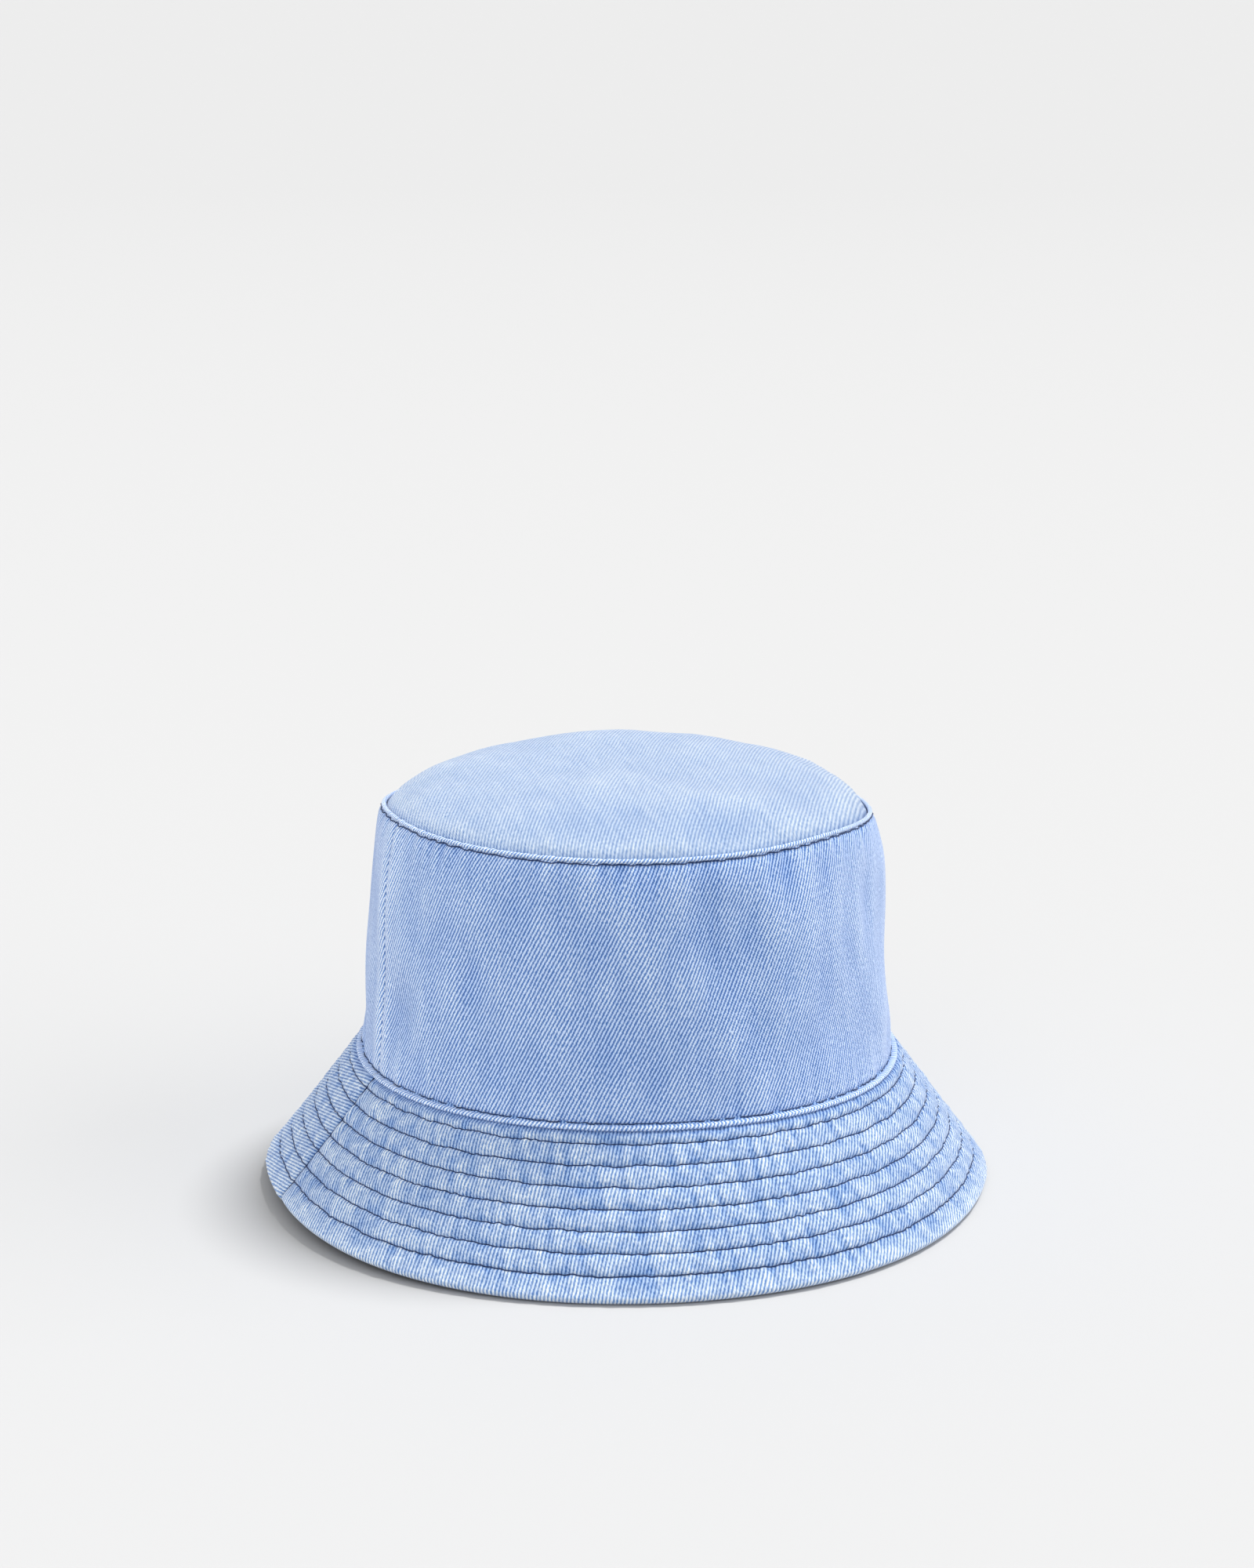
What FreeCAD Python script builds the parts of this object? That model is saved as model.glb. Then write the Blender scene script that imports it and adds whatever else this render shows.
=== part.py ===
import FreeCAD, Part
import Sketcher
import os

# A soft bucket hat standing on its rim. Millimetres, +Z up, the front faces -Y,
# and the origin is the centre of the circle that the rim rests on.

SIZES = (
    ("rim_radius", 127.5, "outer edge of the brim"),
    ("brim_depth", 47.2, "height of the crown base seam over the rim"),
    ("crown_base_radius", 94.0, "outside of the crown where it meets the brim"),
    ("shoulder_radius", 88.4, "outside of the crown where it starts to turn in"),
    ("shoulder_height", 114.0, "height of that turn over the rim"),
    ("tip_radius", 84.4, "outside of the seam round the tip"),
    ("tip_height", 131.8, "height of that seam over the rim"),
    ("tip_rise", 12.0, "how far the middle of the tip stands over its seam"),
    ("denim", 0.8, "thickness of one denim layer"),
    ("interlining", 0.8, "thickness of the soft layer inside the brim"),
    ("lining", 0.3, "thickness of the cotton lining"),
    ("layer_gap", 0.05, "air between two layers that touch"),
    ("seam_gap", 0.2, "air where two panels end at a seam"),
    ("seam_angle", 0.35, "degrees left open between the front and back panels"),
    ("thread_angle", 0.15, "degrees filled by the thread in that opening"),
    ("thread", 0.25, "radius of the sewing thread"),
    ("first_row", 6.8, "crown base seam to the first row on the brim, down the slope"),
    ("row_pitch", 7.1, "one row of brim stitching to the next, down the slope"),
    ("allowance", 6.0, "height of the turned-in edge inside the rim"),
    ("allowance_lift", 0.1, "that edge over the rest plane"),
    ("edge_stitch", 2.5, "an edge stitch to the fold beside it"),
    ("head_radius", 90.0, "inside of the sweatband"),
    ("sweatband", 0.7, "thickness of the sweatband"),
    ("sweatband_tall", 25.0, "width of the sweatband tape"),
    ("label", 0.15, "thickness of a woven label"),
    ("care_tall", 18.0, "height of the care label"),
    ("care_angle", 22.0, "degrees that the care label covers"),
    ("size_long", 48.0, "length of the size label"),
    ("size_wide", 22.0, "width of the size label"),
    ("label_hem", 2.0, "label edge to its stitching"),
)
BRIM_ROWS = 7
BACK, FRONT, RIGHT, LEFT = 90, -90, 0, 180
SLANT = "sqrt((sizes.rim_radius - sizes.crown_base_radius)^2 + sizes.brim_depth^2)"
TIP_SHEET_RADIUS = "sizes.tip_radius - sizes.denim - 2 * sizes.layer_gap"
TIP_LINING_EDGE = "sizes.tip_height - 2 * sizes.denim - sizes.seam_gap"

doc = FreeCAD.newDocument("bucket_hat")
NODES = []


def fill_sheet():
    """The driving dimensions, one row each: what it is, its value, a note."""
    sheet = doc.addObject("Spreadsheet::Sheet", "sizes")
    for row, (alias, value, note) in enumerate(SIZES, start=1):
        sheet.set(f"A{row}", alias)
        sheet.set(f"B{row}", str(value))
        sheet.set(f"C{row}", note)
        sheet.setAlias(f"B{row}", alias)
    doc.recompute()


def node(part, label):
    """Marks a finished sub-part, which is written to a file of that name."""
    part.Label = label
    NODES.append(part)
    return part


# Where the outer surfaces are: radius expressions at a height, a distance inside the surface.


def on_cone(height, low_radius, low_height, high_radius, high_height, inward):
    climb = f"(({height}) - {low_height}) / ({high_height} - {low_height})"
    return f"{low_radius} + ({high_radius} - {low_radius}) * {climb} - ({inward})"


def on_brim(height, inward="0"):
    shift = f"({inward}) * {SLANT} / sizes.brim_depth"
    return on_cone(height, "sizes.rim_radius", "0", "sizes.crown_base_radius", "sizes.brim_depth", shift)


def on_wall(height, inward="0"):
    low = ("sizes.crown_base_radius", "sizes.brim_depth")
    return on_cone(height, *low, "sizes.shoulder_radius", "sizes.shoulder_height", inward)


def on_shoulder(height, inward="0"):
    low = ("sizes.shoulder_radius", "sizes.shoulder_height")
    return on_cone(height, *low, "sizes.tip_radius", "sizes.tip_height", inward)


# Shapes turned about Z.


def outline_sketch(body, corners):
    """A closed outline of straight edges on the XZ plane, each corner a pair of expressions: radius, height."""
    plane = next(o for o in body.Origin.OriginFeatures if o.Role == "XZ_Plane")
    sketch = body.newObject("Sketcher::SketchObject", body.Name + "_outline")
    sketch.AttachmentSupport = [(plane, "")]
    sketch.MapMode = "FlatFace"
    points = [FreeCAD.Vector(*(float(sketch.evalExpression(e)) for e in corner), 0) for corner in corners]
    for start, end in zip(points, points[1:] + points[:1]):
        sketch.addGeometry(Part.LineSegment(start, end), False)
    for i, corner in enumerate(corners):
        sketch.addConstraint(Sketcher.Constraint("Coincident", i - 1 if i else len(corners) - 1, 2, i, 1))
        for kind, expression in zip(("DistanceX", "DistanceY"), corner):
            value = float(sketch.evalExpression(expression))
            index = sketch.addConstraint(Sketcher.Constraint(kind, -1, 1, i, 1, value))
            sketch.setExpression(f"Constraints[{index}]", expression)
    return sketch


def revolve(body, sketch, angle):
    """Turns the outline about Z by an angle, half to each side of the sketch plane."""
    turn = body.newObject("PartDesign::Revolution", body.Name + "_turn")
    turn.Profile = sketch
    turn.ReferenceAxis = (sketch, ["V_Axis"])
    turn.Midplane = True
    turn.setExpression("Angle", angle)
    sketch.Visibility = False
    return turn


def turned(name, corners, angle="360", facing=RIGHT):
    """A body turned about Z from an outline, its middle facing an azimuth in degrees."""
    body = doc.addObject("PartDesign::Body", name)
    revolve(body, outline_sketch(body, corners), angle)
    body.Placement = FreeCAD.Placement(FreeCAD.Vector(), FreeCAD.Rotation(FreeCAD.Vector(0, 0, 1), facing))
    return body


def dome(name, edge_height, thick):
    """A round sheet as wide as the tip, its middle tip_rise over its edge: two arcs, an edge and the axis."""
    body = doc.addObject("PartDesign::Body", name)
    plane = next(o for o in body.Origin.OriginFeatures if o.Role == "XZ_Plane")
    sketch = body.newObject("Sketcher::SketchObject", name + "_outline")
    sketch.AttachmentSupport = [(plane, "")]
    sketch.MapMode = "FlatFace"
    wide, high, deep, rise = (
        float(sketch.evalExpression(e)) for e in (TIP_SHEET_RADIUS, edge_height, thick, "sizes.tip_rise")
    )
    ball = (wide**2 + rise**2) / (2 * rise)
    corners = {
        "top_middle": FreeCAD.Vector(0, high + rise, 0),
        "top_edge": FreeCAD.Vector(wide, high, 0),
        "low_edge": FreeCAD.Vector(wide, high - deep, 0),
        "low_middle": FreeCAD.Vector(0, high + rise - deep, 0),
    }
    for edge, middle in (("top_edge", "top_middle"), ("low_edge", "low_middle")):
        centre = corners[middle] - FreeCAD.Vector(0, ball, 0)
        circle = Part.Circle(centre, FreeCAD.Vector(0, 0, 1), ball)
        arc = Part.ArcOfCircle(circle, circle.parameter(corners[edge]), circle.parameter(corners[middle]))
        sketch.addGeometry(arc, False)
    sketch.addGeometry(Part.LineSegment(corners["top_edge"], corners["low_edge"]), False)
    sketch.addGeometry(Part.LineSegment(corners["low_middle"], corners["top_middle"]), False)
    top_arc, low_arc, rim, axis = 0, 1, 2, 3
    joins = ((top_arc, 1, rim, 1), (low_arc, 1, rim, 2), (low_arc, 2, axis, 1), (top_arc, 2, axis, 2))
    for join in joins:
        sketch.addConstraint(Sketcher.Constraint("Coincident", *join))
    for arc in (top_arc, low_arc):
        sketch.addConstraint(Sketcher.Constraint("PointOnObject", arc, 3, -2))
    low_middle = f"{edge_height} + sizes.tip_rise - ({thick})"
    sized = (
        ("DistanceX", rim, 1, TIP_SHEET_RADIUS),
        ("DistanceY", rim, 1, edge_height),
        ("DistanceX", rim, 2, TIP_SHEET_RADIUS),
        ("DistanceY", rim, 2, f"{edge_height} - ({thick})"),
        ("DistanceX", axis, 1, "0"),
        ("DistanceY", axis, 1, low_middle),
        ("DistanceX", axis, 2, "0"),
        ("DistanceY", axis, 2, f"{edge_height} + sizes.tip_rise"),
    )
    for kind, line, end, expression in sized:
        value = float(sketch.evalExpression(expression))
        index = sketch.addConstraint(Sketcher.Constraint(kind, -1, 1, line, end, value))
        sketch.setExpression(f"Constraints[{index}]", expression)
    revolve(body, sketch, "360")
    return body


def thread_ring(name, radius, height):
    """One round of thread about Z."""
    ring = doc.addObject("Part::Torus", name)
    ring.setExpression("Radius1", radius)
    ring.setExpression("Radius2", "sizes.thread")
    ring.setExpression("Placement.Base.z", height)
    return ring


def group(name, parts):
    """Several separate solids that share a node."""
    together = doc.addObject("Part::Compound", name)
    together.Links = parts
    return together


# The crown: a tip, two side panels, and the same again in lining.


def wall_layer(name, low, top, start, thick, angle, facing):
    """A sheet that follows the crown from height low to height top, start inside its outer surface."""
    end = f"{start} + {thick}"
    turn_in = "sizes.shoulder_height"
    outer = [(on_wall(low, start), low), (on_wall(turn_in, start), turn_in), (on_shoulder(top, start), top)]
    inner = [(on_shoulder(top, end), top), (on_wall(turn_in, end), turn_in), (on_wall(low, end), low)]
    return turned(name, outer + inner, angle, facing)


def crown_panels():
    half = "180 - sizes.seam_angle"
    low, top = "sizes.brim_depth", "sizes.tip_height"
    lining_low = f"{low} + sizes.seam_gap"
    lining_start = "sizes.denim + sizes.layer_gap"
    for side, facing in (("front", FRONT), ("back", BACK)):
        name = f"crown_side_{side}"
        node(wall_layer(name, low, top, "0", "sizes.denim", half, facing), name)
        name = f"side_lining_{side}"
        node(wall_layer(name, lining_low, TIP_LINING_EDGE, lining_start, "sizes.lining", half, facing), name)
    threads = (
        ("crown_side_seam_threads", low, top, "0", "sizes.denim"),
        ("lining_side_seam_threads", lining_low, TIP_LINING_EDGE, lining_start, "sizes.lining"),
    )
    for name, bottom, end, start, thick in threads:
        pair = [
            wall_layer(f"{name}_{facing}", bottom, end, start, thick, "sizes.thread_angle", facing)
            for facing in (RIGHT, LEFT)
        ]
        node(group(name, pair), name)


def tip():
    """The tip sits inside the top edge of the side panels, and its lining hangs under it."""
    node(dome("tip_panel", "sizes.tip_height - sizes.denim / 2", "sizes.denim"), "tip_panel")
    node(dome("tip_lining", TIP_LINING_EDGE, "sizes.lining"), "tip_lining")


def crown_stitches():
    """One edge stitch under the tip's seam and one over the crown's base seam."""
    upper = "sizes.tip_height - sizes.edge_stitch"
    lower = "sizes.brim_depth + sizes.edge_stitch"
    proud = "-sizes.thread - sizes.layer_gap"
    node(thread_ring("tip_edge_stitch", on_shoulder(upper, proud), upper), "tip_edge_stitch")
    node(thread_ring("crown_base_stitch", on_wall(lower, proud), lower), "crown_base_stitch")


# The brim: top and under panels with a soft layer between them, sewn through in rows.


def brim_layer(name, top, low, start, thick, angle, facing):
    """A sheet that follows the brim from height top to height low, start inside its upper surface."""
    end = f"{start} + {thick}"
    upper = [(on_brim(low, start), low), (on_brim(top, start), top)]
    under = [(on_brim(top, end), top), (on_brim(low, end), low)]
    return turned(name, upper + under, angle, facing)


def brim_panels():
    half = "180 - sizes.seam_angle"
    top = "sizes.brim_depth - sizes.seam_gap"
    under = "sizes.denim + sizes.interlining + 2 * sizes.layer_gap"
    for layer, start in (("top", "0"), ("under", under)):
        for side, facing in (("front", FRONT), ("back", BACK)):
            name = f"brim_{layer}_{side}"
            node(brim_layer(name, top, "0", start, "sizes.denim", half, facing), name)
        name = f"brim_{layer}_seam_threads"
        pair = [
            brim_layer(f"{name}_{facing}", top, "0", start, "sizes.denim", "sizes.thread_angle", facing)
            for facing in (RIGHT, LEFT)
        ]
        node(group(name, pair), name)


def brim_filling():
    """The interlining stops where the turned-in edge of the brim panels starts."""
    start = "sizes.denim + sizes.layer_gap"
    top = "sizes.brim_depth - sizes.seam_gap"
    meet = "sizes.allowance + 2 * sizes.thread + 2 * sizes.layer_gap"
    name = "brim_interlining"
    node(brim_layer(name, top, meet, start, "sizes.interlining", "360", RIGHT), name)
    name = "brim_edge_allowance"
    low = "sizes.allowance_lift"
    node(brim_layer(name, "sizes.allowance", low, start, "sizes.interlining", "360", RIGHT), name)
    height = "sizes.allowance + sizes.thread + sizes.layer_gap"
    name = "brim_edge_seam_thread"
    node(thread_ring(name, on_brim(height, f"{start} + sizes.interlining / 2"), height), name)


def brim_rows():
    """Each row is one lockstitch seam: the needle thread on top and the bobbin thread underneath."""
    thick = "2 * sizes.denim + sizes.interlining + 2 * sizes.layer_gap"
    clear = "(sizes.thread + sizes.layer_gap)"
    over_brim = f"(sizes.rim_radius - sizes.crown_base_radius) / {SLANT}"
    for row in range(1, BRIM_ROWS + 1):
        name = f"brim_stitch_row_{row}"
        down_slope = f"(sizes.first_row + {row - 1} * sizes.row_pitch)"
        height = f"(sizes.brim_depth * (1 - {down_slope} / {SLANT}))"
        faces = (("needle", clear), ("bobbin", f"(-({thick}) - {clear})"))
        rings = []
        for thread, lift in faces:
            radius = f"{on_brim(height)} + {lift} * sizes.brim_depth / {SLANT}"
            rings.append(thread_ring(f"{name}_{thread}", radius, f"{height} + {lift} * {over_brim}"))
        node(group(name, rings), name)


# Inside: the sweatband, its seam, and two blank labels.


def sweatband():
    low, high = "sizes.brim_depth", "sizes.brim_depth + sizes.sweatband_tall"
    inner, outer = "sizes.head_radius", "sizes.head_radius + sizes.sweatband"
    corners = [(inner, low), (outer, low), (outer, high), (inner, high)]
    node(turned("sweatband", corners), "sweatband")
    height = "sizes.brim_depth - sizes.thread - sizes.layer_gap"
    ring = thread_ring("sweatband_seam_thread", "sizes.head_radius + sizes.sweatband / 2", height)
    node(ring, "sweatband_seam_thread")


def care_label():
    """Tucked behind the sweatband at the back."""
    low = "sizes.brim_depth + sizes.edge_stitch"
    high = f"{low} + sizes.care_tall"
    inner = "sizes.head_radius + sizes.sweatband + sizes.layer_gap"
    outer = f"{inner} + sizes.label"
    corners = [(inner, low), (outer, low), (outer, high), (inner, high)]
    node(turned("care_label", corners, "sizes.care_angle", BACK), "care_label")


def label_block(name, margin):
    """An upright block over the middle of the tip, the label's size less a margin all round."""
    block = doc.addObject("Part::Box", name)
    block.setExpression("Length", f"sizes.size_long - 2 * ({margin})")
    block.setExpression("Width", f"sizes.size_wide - 2 * ({margin})")
    block.setExpression("Height", "sizes.tip_height + sizes.tip_rise")
    block.setExpression("Placement.Base.x", f"-(sizes.size_long / 2 - ({margin}))")
    block.setExpression("Placement.Base.y", f"-(sizes.size_wide / 2 - ({margin}))")
    return block


def combine(kind, name, base, tool):
    """A boolean of two shapes, named after what it makes."""
    result = doc.addObject(kind, name)
    result.Base, result.Tool = base, tool
    return result


def size_label():
    """A blank label under the tip lining, cut from a sheet with the same dome, and the stitching round it."""
    under_lining = f"{TIP_LINING_EDGE} - sizes.lining - sizes.layer_gap"
    sheet = dome("label_sheet", under_lining, "sizes.label")
    node(combine("Part::Common", "size_label", sheet, label_block("label_block", "0")), "size_label")
    under_label = f"{under_lining} - sizes.label - sizes.layer_gap"
    threads = dome("label_threads", under_label, "sizes.label")
    outer = label_block("stitch_outside", "sizes.label_hem")
    inner = label_block("stitch_inside", "sizes.label_hem + 2 * sizes.thread")
    frame = combine("Part::Cut", "stitch_frame", outer, inner)
    node(combine("Part::Common", "size_label_stitches", threads, frame), "size_label_stitches")


def failed_parts():
    """Names of objects that did not compute, and of sub-parts with no sound solid."""
    broken = [o.Label for o in doc.Objects if {"Invalid", "Error"} & set(o.State)]
    for part in NODES:
        if part.Shape.isNull() or not part.Shape.isValid() or not part.Shape.Solids:
            broken.append(part.Label)
    return broken


def export():
    os.makedirs("parts", exist_ok=True)
    for part in NODES:
        part.Shape.exportStep(f"parts/{part.Label}.step")


fill_sheet()
tip()
crown_panels()
crown_stitches()
brim_panels()
brim_filling()
brim_rows()
sweatband()
care_label()
size_label()
doc.recompute()
broken = failed_parts()
if broken:
    raise RuntimeError(f"these did not compute: {broken}")
export()
print(f"{len(NODES)} sub-parts written")
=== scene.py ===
import math

import bpy
import numpy as np
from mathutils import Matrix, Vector


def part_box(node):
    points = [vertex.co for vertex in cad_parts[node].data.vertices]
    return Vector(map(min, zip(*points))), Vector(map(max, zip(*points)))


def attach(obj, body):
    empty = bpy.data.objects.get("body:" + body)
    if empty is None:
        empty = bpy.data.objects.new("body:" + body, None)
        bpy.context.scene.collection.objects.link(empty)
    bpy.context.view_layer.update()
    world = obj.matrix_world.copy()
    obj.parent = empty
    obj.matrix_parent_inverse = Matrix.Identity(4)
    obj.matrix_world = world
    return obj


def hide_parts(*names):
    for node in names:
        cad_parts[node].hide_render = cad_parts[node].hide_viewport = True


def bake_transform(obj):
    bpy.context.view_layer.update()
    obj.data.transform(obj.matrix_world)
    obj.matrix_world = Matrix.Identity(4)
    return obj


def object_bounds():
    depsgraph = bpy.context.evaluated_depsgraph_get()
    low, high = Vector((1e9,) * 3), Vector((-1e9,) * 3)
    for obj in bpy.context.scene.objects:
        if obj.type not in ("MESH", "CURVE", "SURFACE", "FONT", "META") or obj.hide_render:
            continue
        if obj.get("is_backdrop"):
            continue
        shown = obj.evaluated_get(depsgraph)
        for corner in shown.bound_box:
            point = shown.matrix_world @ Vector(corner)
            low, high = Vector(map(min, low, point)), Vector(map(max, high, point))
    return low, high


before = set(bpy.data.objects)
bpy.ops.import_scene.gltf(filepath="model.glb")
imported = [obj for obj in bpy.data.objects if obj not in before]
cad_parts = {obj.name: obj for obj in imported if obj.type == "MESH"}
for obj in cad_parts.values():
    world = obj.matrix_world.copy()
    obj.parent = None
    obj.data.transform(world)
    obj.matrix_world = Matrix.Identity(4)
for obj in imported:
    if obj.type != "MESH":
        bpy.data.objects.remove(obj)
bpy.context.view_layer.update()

# A washed denim bucket hat: its cloth, thread, lining and labels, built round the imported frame. Shapes are
# worked out in millimetres and written to meshes in metres. An azimuth runs round the hat from its front
# (-Y) towards its right (+X). On the brim, "down" is the distance down the slope from the crown's base seam.

MM = 0.001
TURN = 2 * math.pi


def box_mm(node):
    """The lowest and highest corners of a CAD node."""
    low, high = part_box(node)
    return np.array(low) / MM, np.array(high) / MM


# Thicknesses of the layers, and radii of threads: the frame's own, and the finer ones drawn here.
DENIM = 0.8
LINING_THICK = 0.3
TAPE_THICK = 0.7
RIBBON_THICK = 0.15
BRIM_THICK = 2.5
BRIM_FILL = 0.7
THREAD = 0.25
FINE = 0.2

# The plain hat, from the frame: its radii, its heights, and the brim's slope.
RIM_R = box_mm("brim_top_front")[1][0]
BASE_R = box_mm("crown_side_front")[1][0]
TIP_R = box_mm("tip_panel")[1][0] + DENIM + 0.1
HEAD_R = box_mm("sweatband")[1][0] - TAPE_THICK
BASE_Z = box_mm("crown_side_front")[0][2]
BAND_TOP = box_mm("sweatband")[1][2]
TIP_Z = box_mm("crown_side_front")[1][2]
TIP_TOP = box_mm("tip_panel")[1][2]
SLANT = math.hypot(RIM_R - BASE_R, BASE_Z)
OUT, DROP = (RIM_R - BASE_R) / SLANT, BASE_Z / SLANT
SEAMS = (-TURN / 4, TURN / 4)
SIDES = {"front": 0, "back": TURN / 2}

# The rows of brim stitching, as distances down the slope. A channel of cloth puffs up before each row and
# after the last one.
ROW_COUNT = 7
CHANNELS = ROW_COUNT + 1
ROWS = [
    (box_mm(f"brim_stitch_row_{row}")[1][0] - THREAD - (THREAD + 0.05) * DROP - BASE_R) / OUT
    for row in range(1, CHANNELS)
]

# The width of a pucker between rows, the length of a stitch and the samples along each stitch.
PUCKER = 6.0
STITCH = 2.8
STITCH_STEPS = 7

# The worn hat. The crown's hem laps over the brim, and its tip seam stands up as a ridge; both are rounded.
# A row of stitching runs EDGE mm from each. The wall's inner face lies WALL mm inside its outer face.
HEM_Z = BASE_Z - 2.3
CORD_Z = TIP_Z + 2.6
HEM_ROUND = 0.95
CORD_ROUND = 0.78
EDGE = 2.1
WALL = 1.5

# How far the tip sinks at the back, and how far the foot of the crown sags at its sides.
TIP_DROP = 7.5
FOOT_DROP = 5.0

# The side of the hat that the camera sees.
CAMERA_AZIMUTH = math.radians(-24.5)


# Smooth random waves, the same on every run.


def ripple(seed, crests, spread=0.3, terms=18):
    """A wave round the hat with about that many crests a turn, mostly within -1 and 1.

    The wave is a function of azimuth.
    """
    rng = np.random.default_rng(seed)
    counts = np.maximum(1, np.rint(rng.normal(crests, spread * crests, terms)))
    phases = rng.uniform(0, TURN, terms)

    def wave(azimuth):
        total = sum(np.cos(count * azimuth + phase) for count, phase in zip(counts, phases))
        return total * 0.5 * math.sqrt(2 / terms)

    return wave


def billow(seed, size, terms=16):
    """Soft hills about that many mm across, mostly within -1 and 1.

    The hills are a function of two distances in mm. Across, they repeat once round the crown's base, so
    they match where two panels meet.
    """
    rng = np.random.default_rng(seed)
    angles = rng.uniform(0, TURN, terms)
    lengths = rng.uniform(0.7, 1.4, terms) * TURN / size
    phases = rng.uniform(0, TURN, terms)

    def hills(across, along):
        total = 0
        for angle, length, phase in zip(angles, lengths, phases):
            turns = round(length * math.cos(angle) * BASE_R)
            total = total + np.cos(turns / BASE_R * across + length * math.sin(angle) * along + phase)
        return total * 0.5 * math.sqrt(2 / terms)

    return hills


def row_puckers(seed):
    """A wave of puckers for the base seam, each row of brim stitching, and the edge."""
    radii = [BASE_R + 4 * i for i in range(CHANNELS + 1)]
    return [ripple(seed + i, TURN * radius / PUCKER, 0.35, 26) for i, radius in enumerate(radii)]


CROWN_BILLOW, CROWN_CREASE = billow(11, 52), billow(12, 19)
TIP_PUCKER, BASE_PUCKER = ripple(13, 82), ripple(14, 96)
SEAM_PUCKER, RIDGE_LUMPS = ripple(15, 70), ripple(16, 150)
TIP_BILLOW, TIP_CREASE = billow(21, 46), billow(24, 20)
TIP_EDGE_PUCKER, TIP_SLOW = ripple(22, 64), ripple(23, 9, 0.5, 8)
ROW_WOBBLE = [ripple(30 + i, 34) for i in range(CHANNELS)]
ROW_JITTER = [ripple(40 + i, 170) for i in range(CHANNELS)]
BRIM_PUCKER, UNDER_PUCKER = row_puckers(50), row_puckers(70)
CHANNEL_SWELL = [ripple(90 + i, 26) for i in range(CHANNELS)]
BRIM_BLOTCH, BRIM_CRUMPLE = billow(102, 15), billow(103, 5)
RIM_WAVE = ripple(101, 5, 0.4, 6)
LINING_CREASE = billow(61, 24)
BAND_WAVE = ripple(111, 14)


# Places on the hat.


def hump(distance, width):
    """1 at no distance, falling to almost 0 two widths away on either side."""
    return np.exp(-((distance / width) ** 2))


def rise(value):
    """0 below 0, 1 above 1 and a smooth step between."""
    t = np.clip(value, 0, 1)
    return t * t * (3 - 2 * t)


def ring_point(azimuth, radius, height):
    """A point on a ring round the hat's axis."""
    azimuth, radius, height = np.broadcast_arrays(azimuth, radius, height)
    return np.stack([radius * np.sin(azimuth), -radius * np.cos(azimuth), height], axis=-1)


def from_seam(azimuth, radius):
    """Distance in mm round the hat to the nearer side seam, negative on the seam's front side."""
    angles = np.mod(azimuth, TURN)
    right, left = angles - TURN / 4, 3 * TURN / 4 - angles
    return np.where(np.abs(right) < np.abs(left), right, left) * radius


def view_side(azimuth):
    """Degrees round the hat from the side that faces the camera, between -180 and 180."""
    return np.degrees(np.mod(azimuth - CAMERA_AZIMUTH + math.pi, TURN) - math.pi)


def settle(points):
    """The way the soft hat stands.

    Its tip sinks at the back and its foot sags at the sides. Its rim spreads towards the front corners,
    draws in at the back and stands off the ground at the left.
    """
    x, y, z = points[..., 0], points[..., 1], points[..., 2]
    radius, azimuth = np.hypot(x, y), np.arctan2(x, -y)
    side = view_side(azimuth)
    up = np.clip((z - BASE_Z) / (CORD_Z - BASE_Z), 0, 1)
    down = np.clip((BASE_Z - z) / BASE_Z, 0, 1)
    sunk = np.where(side > 0, rise((side - 45) / 65), rise((-side - 65) / 60))
    drop = TIP_DROP * sunk * up**2 * np.clip(radius / TIP_R, 0, 1) ** 4
    aside = np.sin(np.radians(side))
    drop = drop + FOOT_DROP * (0.77 + 0.23 * aside) * aside**2 * (1 - up) ** 2 * (1 - down)
    lift = (4.2 * hump(side + 72, 34) + 0.4 * RIM_WAVE(azimuth)) * down**1.4
    spread = 0.9 + 2.5 * hump(np.abs(side) - 42, 26) + 2.0 * hump(side + 45, 28)
    spread = spread - 6.0 * rise((np.abs(side) - 78) / 36)
    wider = (radius + spread * down) / np.maximum(radius, 0.001)
    return np.stack([x * wider, y * wider, z - drop + lift], axis=-1)


# The crown's surface.

TAPER = 6.2
SHOULDER = BASE_R - TIP_R - TAPER


def crown_radius(height):
    """Outside of the smooth crown: a slight taper that rounds over into the tip seam."""
    t = np.clip((height - HEM_Z) / (CORD_Z - HEM_Z), 0, 1)
    return BASE_R - TAPER * t**0.8 - SHOULDER * t**12


def crown_soft(azimuth, height):
    """Large soft bulges, which all layers of the crown share. They fade out at both seams."""
    arc = azimuth * BASE_R
    up, below = height - HEM_Z, CORD_Z - height
    return 1.2 * CROWN_BILLOW(arc, height * 0.8) * rise(up / 26) * rise(below / 20)


def crown_relief(azimuth, height):
    """Creases and puckers of the crown's outer cloth alone, in mm."""
    arc = azimuth * BASE_R
    up, below = height - HEM_Z - EDGE, CORD_Z - EDGE - height
    relief = 0.28 * CROWN_CREASE(arc, height * 0.5)
    relief = relief + 0.5 * TIP_PUCKER(azimuth + below * 0.0012) * np.exp(-np.maximum(below, 0) / 5)
    relief = relief + 0.35 * BASE_PUCKER(azimuth) * np.exp(-np.maximum(up, 0) / 6)
    relief = relief - 0.45 * hump(below, 0.7) - 0.4 * hump(up, 0.6)
    side = from_seam(azimuth, crown_radius(height))
    relief = relief - 0.35 * hump(side, 0.8) + 0.4 * hump(np.abs(side) - 3.6, 2.4)
    return np.maximum(relief + 0.15 * SEAM_PUCKER(height / 52) * hump(side, 6), -1.0)


def wall_point(azimuth, height, lift):
    """A point on the crown, lift mm out of its soft outer face."""
    return ring_point(azimuth, crown_radius(height) + crown_soft(azimuth, height) + lift, height)


# The brim's surface.


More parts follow.
